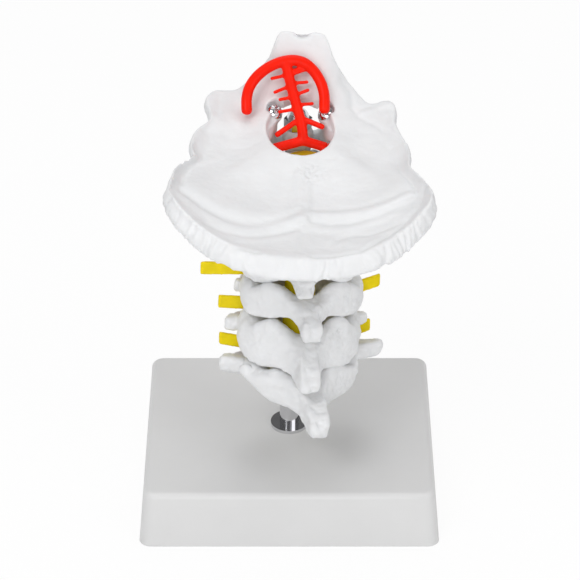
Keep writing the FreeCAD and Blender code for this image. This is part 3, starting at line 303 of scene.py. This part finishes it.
def base_material(colour):
    """Satin moulded plastic."""
    material, shader = new_material("moulded_base", colour, 0.42)
    vary_colour(material, shader, noise_node(material, scale=28, detail=3), toned(colour, 0.97), colour)
    vary_roughness(material, shader, noise_node(material, scale=90, detail=4), 0.36, 0.5)
    add_bump(material, shader, noise_node(material, scale=1800, detail=3), 0.03 * MM, 0.3)
    return material


# Shared steps of the pieces

def node_copy(node, name):
    """New piece from a CAD node, with the corners of its triangles merged."""
    piece = bpy.data.objects.new(name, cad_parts[node].data.copy())
    bpy.context.scene.collection.objects.link(piece)
    mesh = bmesh.new()
    mesh.from_mesh(piece.data)
    bmesh.ops.remove_doubles(mesh, verts=mesh.verts, dist=0.002 * MM)
    mesh.to_mesh(piece.data)
    mesh.free()
    return piece


def rebuild_even(piece, voxel):
    """Even quads over the whole piece, so that its vertices can carry relief."""
    modifier = piece.modifiers.new("even", "REMESH")
    modifier.mode = "VOXEL"
    modifier.voxel_size = voxel
    modifier.use_smooth_shade = True
    graph = bpy.context.evaluated_depsgraph_get()
    mesh = bpy.data.meshes.new_from_object(piece.evaluated_get(graph))
    piece.modifiers.clear()
    piece.data = mesh


def relax(piece, rounds):
    """Takes the steps of the voxels out of the surface."""
    mesh = bmesh.new()
    mesh.from_mesh(piece.data)
    for _ in range(rounds):
        bmesh.ops.smooth_vert(
            mesh, verts=mesh.verts, factor=0.5, use_axis_x=True, use_axis_y=True, use_axis_z=True)
    mesh.to_mesh(piece.data)
    mesh.free()


def raise_surface(piece, height_at):
    """Moves each vertex along its normal by a height from its place and normal."""
    mesh = bmesh.new()
    mesh.from_mesh(piece.data)
    mesh.normal_update()
    moves = [(vertex, vertex.normal * height_at(vertex.co, vertex.normal)) for vertex in mesh.verts]
    for vertex, move in moves:
        vertex.co += move
    mesh.to_mesh(piece.data)
    mesh.free()


def finish_piece(piece, nodes, material):
    """Smooth shading, material, a place under the root body, and the CAD nodes it replaces hidden."""
    piece.data.materials.clear()
    piece.data.materials.append(material)
    piece.data.shade_smooth()
    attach(piece, "root")
    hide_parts(*nodes)


def paint_node(node, material):
    """Procedural material on a CAD node that keeps its own mesh."""
    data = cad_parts[node].data
    data.materials.clear()
    data.materials.append(material)


def bone_relief(lump_height, grain_height, seed):
    """Lumps and grain of cast bone as a height over places."""
    offset = Vector((seed * 3.7, seed * 1.9, seed * 2.3))

    def height(place, _normal):
        broad = noise.fractal(place / (LUMP_SIZE * MM) + offset, 0.8, 2.1, 3)
        fine = noise.fractal(place / (GRAIN_SIZE * MM) + offset, 0.8, 2.0, 3)
        return broad * lump_height + fine * grain_height

    return height


def knob_relief(knobs):
    """Round knobs and pits as a height over places: centre, radius and height in mm."""
    spots = [(Vector(centre) * MM, radius * MM, height * MM) for centre, radius, height in knobs]

    def height(place, _normal):
        total = 0.0
        for centre, radius, rise in spots:
            apart = (place - centre).length / radius
            if apart < 2.5:
                total += rise * math.exp(-apart * apart)
        return total

    return height


def cast_bone(node, sizes, material, seed):
    """Vertebra with the uneven skin of a cast from real bone."""
    piece = node_copy(node, node + "_bone")
    rebuild_even(piece, sizes.bone_voxel)
    relax(piece, rounds=3)
    raise_surface(piece, bone_relief(sizes.lump_height, sizes.grain_height, seed))
    if node in BONE_KNOBS:
        raise_surface(piece, knob_relief(BONE_KNOBS[node]))
    relax(piece, rounds=1)
    finish_piece(piece, [node], material)
    return piece


def plate_matrix():
    """Frame of the plate, its z out of the bowl."""
    roll = Matrix.Rotation(math.radians(PLATE_ROLL), 4, "Y")
    pitch = Matrix.Rotation(math.radians(PLATE_PITCH), 4, "X")
    return Matrix.Translation(PLATE_ORIGIN) @ (roll @ pitch)


def plate_reach(places, bins):
    """Distance of the plate's outline from the foramen's centre, by direction."""
    reach = [0.0] * bins
    for place in places:
        slot = int((math.atan2(place.y, place.x) / (2 * math.pi) + 0.5) * bins) % bins
        reach[slot] = max(reach[slot], math.hypot(place.x, place.y))
    return reach


def seam_relief(sizes, reach, to_plate):
    """Uneven ridges across the rough seam that runs round the back of the plate."""
    bins = len(reach)

    def height(place, _normal):
        local = to_plate @ place
        direction = math.atan2(local.y, local.x)
        turn = (direction / (2 * math.pi) + 0.5) * bins
        slot = int(turn) % bins
        following = (slot + 1) % bins
        outline = reach[slot] + (reach[following] - reach[slot]) * (turn - int(turn))
        from_edge = outline - math.hypot(local.x, local.y)
        side = min(1.0, max(0.0, (-local.y - SEAM_START * MM) / (SEAM_START_FADE * MM)))
        rim = min(1.0, max(0.0, (sizes.seam_width - from_edge) / (SEAM_INNER_FADE * MM)))
        if side * rim == 0.0:
            return 0.0
        along = direction * SEAM_RADIUS * MM / sizes.ridge_pitch
        wander = noise.noise(Vector((along * 0.3, local.z / (5.0 * MM), 4.4)))
        narrow = noise.noise(Vector((along * 0.8 + wander, 7.3, local.z / (14.0 * MM))))
        wide = noise.noise(Vector((along * 0.2 + wander, 2.9, local.z / (20.0 * MM))))
        strength = 0.7 + noise.noise(Vector((along * 0.12, 5.5, 0.0)))
        return side * rim * sizes.ridge_height * (strength * (0.45 - 2.4 * abs(narrow)) + wide)

    return height


def line_relief(to_plate):
    """Ridges, grooves and folds drawn over the inner face of the plate."""
    strokes = []
    for points, half_width, rise in PLATE_LINES:
        route = [Vector(point) for point in points]
        reach = 2.4 * half_width
        low = Vector((min(p.x for p in route) - reach, min(p.y for p in route) - reach))
        high = Vector((max(p.x for p in route) + reach, max(p.y for p in route) + reach))
        strokes.append((route, half_width, rise, low, high))
    patch_centre, patch_radius, patch_rise = ROUGH_PATCH
    patch = Vector(patch_centre)

    def height(place, normal):
        facing = min(1.0, max(0.0, (to_plate.to_3x3() @ normal).z * 2.0))
        if facing == 0.0:
            return 0.0
        local = (to_plate @ place) / MM
        flat = Vector((local.x, local.y))
        total = 0.0
        for route, half_width, rise, low, high in strokes:
            if not (low.x < flat.x < high.x and low.y < flat.y < high.y):
                continue
            apart = min(line_distance(flat, start, end) for start, end in zip(route, route[1:]))
            total += rise * math.exp(-((apart / half_width) ** 2))
        apart = (flat - patch).length / patch_radius
        if apart < 2.0:
            rough = noise.fractal(local / 1.3, 0.6, 2.2, 3)
            total += patch_rise * rough * math.exp(-apart * apart)
        return total * facing * MM

    return height


def line_distance(point, start, end):
    """Distance of a point from a straight stretch."""
    along = end - start
    share = min(1.0, max(0.0, (point - start).dot(along) / along.length_squared))
    return (point - start - along * share).length


def screw_head_matrix(side):
    """Frame of a screw head: its seat under the dome, z out of the head."""
    forward = Matrix.Rotation(math.radians(SCREW_FORWARD), 4, "X")
    outward = Matrix.Rotation(math.radians(-SCREW_OUTWARD * side), 4, "Y")
    x, y, z = SCREW_SEAT
    return plate_matrix() @ Matrix.Translation(Vector((x * side, y, z)) * MM) @ (forward @ outward)


def cross_relief(to_heads):
    """Cross recess in the dome of each screw head."""
    def height(place, _normal):
        for to_head in to_heads:
            local = (to_head @ place) / MM
            if local.z > CROSS_BOTTOM and math.hypot(local.x, local.y) < CROSS_RADIUS:
                narrow = min(abs(local.x), abs(local.y))
                return -CROSS_DEPTH * MM * min(1.0, max(0.0, (CROSS_HALF_WIDTH - narrow) / CROSS_WALL))
        return 0.0

    return height


# Operators, one for each piece or group of like pieces

class SPINE_OT_vertebrae(bpy.types.Operator):
    """Vertebrae below the axis, cast in off-white plastic"""

    bl_idname = "spine.vertebrae"
    bl_label = "Vertebrae"

    def execute(self, context):
        sizes = context.scene.spine_sizes
        material = bone_material(context.scene.spine_colours.bone)
        for seed, node in enumerate(VERTEBRA_NODES + ("axis_c2", "atlas_c1")):
            cast_bone(node, sizes, material, seed)
        return {"FINISHED"}


class SPINE_OT_plate(bpy.types.Operator):
    """Occipital plate with its bowl and the ridged seam round its back"""

    bl_idname = "spine.plate"
    bl_label = "Occipital plate"

    def execute(self, context):
        sizes = context.scene.spine_sizes
        piece = node_copy("occipital_plate", "occipital_bone")
        rebuild_even(piece, sizes.plate_voxel)
        relax(piece, rounds=3)
        to_plate = plate_matrix().inverted()
        reach = plate_reach([to_plate @ vertex.co for vertex in piece.data.vertices], OUTLINE_BINS)
        raise_surface(piece, bone_relief(sizes.plate_lump_height, sizes.plate_grain_height, PLATE_SEED))
        raise_surface(piece, line_relief(to_plate))
        raise_surface(piece, knob_relief(BONE_KNOBS["occipital_plate"]))
        raise_surface(piece, seam_relief(sizes, reach, to_plate))
        relax(piece, rounds=1)
        finish_piece(piece, ["occipital_plate"], bpy.data.materials["cast_bone"])
        return {"FINISHED"}


class SPINE_OT_discs(bpy.types.Operator):
    """Softer discs between the bodies"""

    bl_idname = "spine.discs"
    bl_label = "Discs"

    def execute(self, context):
        colour = context.scene.spine_colours.disc
        material = rubber_material("disc_rubber", colour, toned(colour, 0.9), 0.5)
        for node in DISC_NODES:
            piece = node_copy(node, node + "_soft")
            rebuild_even(piece, context.scene.spine_sizes.soft_voxel)
            relax(piece, rounds=2)
            finish_piece(piece, [node], material)
        return {"FINISHED"}


class SPINE_OT_cord(bpy.types.Operator):
    """Spinal cord with its flat nerve roots"""

    bl_idname = "spine.cord"
    bl_label = "Cord and nerve roots"

    def execute(self, context):
        colour = context.scene.spine_colours.nerve
        material = rubber_material("nerve_rubber", colour, toned(colour, 0.88), 0.38)
        piece = node_copy("spinal_cord", "cord_and_roots")
        rebuild_even(piece, context.scene.spine_sizes.soft_voxel)
        relax(piece, rounds=6)
        finish_piece(piece, ["spinal_cord"], material)
        return {"FINISHED"}


class SPINE_OT_arteries(bpy.types.Operator):
    """Arteries beside the column and their tree over the foramen"""

    bl_idname = "spine.arteries"
    bl_label = "Arteries"

    def execute(self, context):
        colour = context.scene.spine_colours.artery
        material = rubber_material("artery_rubber", colour, toned(colour, 0.9), 0.3)
        for node in ARTERY_NODES:
            piece = node_copy(node, node + "_soft")
            rebuild_even(piece, context.scene.spine_sizes.soft_voxel * 0.8)
            relax(piece, rounds=4)
            finish_piece(piece, [node], material)
        return {"FINISHED"}


class SPINE_OT_metal(bpy.types.Operator):
    """Polished rod, tube, flange, nuts and screws"""

    bl_idname = "spine.metal"
    bl_label = "Metal fittings"

    def execute(self, context):
        material = metal_material(context.scene.spine_colours.metal)
        for node in METAL_NODES:
            paint_node(node, material)
        screws = node_copy("condyle_screws", "condyle_screws_cross")
        rebuild_even(screws, context.scene.spine_sizes.screw_voxel)
        relax(screws, rounds=2)
        raise_surface(screws, cross_relief([screw_head_matrix(side).inverted() for side in (-1, 1)]))
        finish_piece(screws, ["condyle_screws"], material)
        return {"FINISHED"}


class SPINE_OT_base(bpy.types.Operator):
    """Moulded base in light grey plastic"""

    bl_idname = "spine.base"
    bl_label = "Base"

    def execute(self, context):
        paint_node("base_shell", base_material(context.scene.spine_colours.base))
        return {"FINISHED"}


def either_ray(tree, *kinds):
    """Socket that is 1 for rays of two kinds and 0 for all others."""
    path = tree.nodes.new("ShaderNodeLightPath")
    seen = tree.nodes.new("ShaderNodeMath")
    seen.operation = "MAXIMUM"
    for socket, kind in zip(seen.inputs, kinds):
        tree.links.new(path.outputs[kind], socket)
    return seen.outputs[0]


def studio_world(level):
    """White wall where the camera looks, a dark ceiling over it in reflections, an even light level."""
    world = bpy.data.worlds.new("studio")
    world.use_nodes = True
    tree = world.node_tree
    path = tree.nodes.new("ShaderNodeLightPath")
    place = tree.nodes.new("ShaderNodeTexCoord")
    split = tree.nodes.new("ShaderNodeSeparateXYZ")
    tree.links.new(place.outputs["Generated"], split.inputs["Vector"])
    wall = tree.nodes.new("ShaderNodeValToRGB")
    stops = wall.color_ramp.elements
    for position, _colour in ROOM_WALL[2:]:
        stops.new(position)
    for stop, (position, colour) in zip(stops, ROOM_WALL):
        stop.position = position
        stop.color = colour
    tree.links.new(split.outputs["Z"], wall.inputs["Fac"])
    lit = tree.nodes.new("ShaderNodeMix")
    lit.inputs["A"].default_value = level
    tree.links.new(path.outputs["Is Glossy Ray"], lit.inputs["Factor"])
    tree.links.new(wall.outputs["Color"], lit.inputs["B"])
    strength = tree.nodes.new("ShaderNodeMix")
    strength.inputs["B"].default_value = 1.0
    tree.links.new(either_ray(tree, "Is Camera Ray", "Is Transmission Ray"), strength.inputs["Factor"])
    tree.links.new(lit.outputs["Result"], strength.inputs["A"])
    background = tree.nodes["Background"]
    background.inputs["Color"].default_value = (1.0, 1.0, 1.0, 1.0)
    tree.links.new(strength.outputs["Result"], background.inputs["Strength"])
    return world


def area_lamp(name, place, target, size, watts):
    """Round soft lamp that faces a target."""
    light = bpy.data.lights.new(name, "AREA")
    light.shape = "DISK"
    light.size = size
    light.energy = watts
    lamp = bpy.data.objects.new(name, light)
    lamp.location = place
    lamp.rotation_mode = "QUATERNION"
    lamp.rotation_quaternion = (Vector(target) - Vector(place)).to_track_quat("-Z", "Y")
    bpy.context.scene.collection.objects.link(lamp)


def floor_material():
    """Pale floor that shows white and keeps a soft shadow."""
    material, shader = new_material("floor_white", (0.9, 0.9, 0.9), 0.9)
    tree = material.node_tree
    shader.inputs["Specular IOR Level"].default_value = 0.0
    glow = tree.nodes.new("ShaderNodeEmission")
    glow.inputs["Strength"].default_value = 1.0
    mix = tree.nodes.new("ShaderNodeMixShader")
    share = tree.nodes.new("ShaderNodeMath")
    share.operation = "MULTIPLY"
    share.inputs[1].default_value = FLOOR_GLOW
    tree.links.new(shader.outputs["BSDF"], mix.inputs[1])
    tree.links.new(glow.outputs["Emission"], mix.inputs[2])
    tree.links.new(either_ray(tree, "Is Camera Ray", "Is Glossy Ray"), share.inputs[0])
    tree.links.new(share.outputs[0], mix.inputs["Fac"])
    tree.links.new(mix.outputs["Shader"], tree.nodes["Material Output"].inputs["Surface"])
    return material


class SPINE_OT_stage(bpy.types.Operator):
    """White floor, soft light and the camera"""

    bl_idname = "spine.stage"
    bl_label = "Stage"

    def execute(self, context):
        scene = context.scene
        mesh = bmesh.new()
        bmesh.ops.create_grid(mesh, x_segments=1, y_segments=1, size=FLOOR_HALF_SIZE)
        floor_mesh = bpy.data.meshes.new("floor")
        mesh.to_mesh(floor_mesh)
        mesh.free()
        floor = bpy.data.objects.new("floor", floor_mesh)
        floor_mesh.materials.append(floor_material())
        scene.collection.objects.link(floor)

        scene.world = studio_world(ROOM_LEVEL)
        for name, place, size, watts in LAMPS:
            area_lamp(name, place, LAMP_TARGET, size, watts)

        camera_data = bpy.data.cameras.new("camera")
        camera_data.sensor_width = CAMERA_SENSOR
        camera_data.lens = CAMERA_LENS
        camera_data.clip_start = 0.05
        camera_data.clip_end = 20.0
        camera = bpy.data.objects.new("camera", camera_data)
        camera.location = CAMERA_PLACE
        camera.rotation_euler = (math.radians(CAMERA_TILT), 0.0, 0.0)
        scene.collection.objects.link(camera)
        scene.camera = camera
        scene.view_settings.view_transform = "Standard"
        return {"FINISHED"}


class SPINE_PT_panel(bpy.types.Panel):
    """Sizes, colours and steps of the spine model"""

    bl_idname = "SPINE_PT_panel"
    bl_label = "Neck Spine Model"
    bl_space_type = "VIEW_3D"
    bl_region_type = "UI"
    bl_category = "Spine"

    def draw(self, context):
        column = self.layout.column()
        for group in (context.scene.spine_sizes, context.scene.spine_colours):
            for name in group.__annotations__:
                column.prop(group, name)
        for step in STEPS:
            column.operator(step.bl_idname)


STEPS = (
    SPINE_OT_stage,
    SPINE_OT_vertebrae,
    SPINE_OT_plate,
    SPINE_OT_discs,
    SPINE_OT_cord,
    SPINE_OT_arteries,
    SPINE_OT_metal,
    SPINE_OT_base,
)
CLASSES = (SpineSizes, SpineColours, *STEPS, SPINE_PT_panel)


def register():
    for cls in CLASSES:
        bpy.utils.register_class(cls)
    bpy.types.Scene.spine_sizes = bpy.props.PointerProperty(type=SpineSizes)
    bpy.types.Scene.spine_colours = bpy.props.PointerProperty(type=SpineColours)


def unregister():
    del bpy.types.Scene.spine_colours
    del bpy.types.Scene.spine_sizes
    for cls in reversed(CLASSES):
        bpy.utils.unregister_class(cls)


def main():
    register()
    for step in STEPS:
        group, name = step.bl_idname.split(".")
        getattr(getattr(bpy.ops, group), name)()


if __name__ == "__main__":
    main()
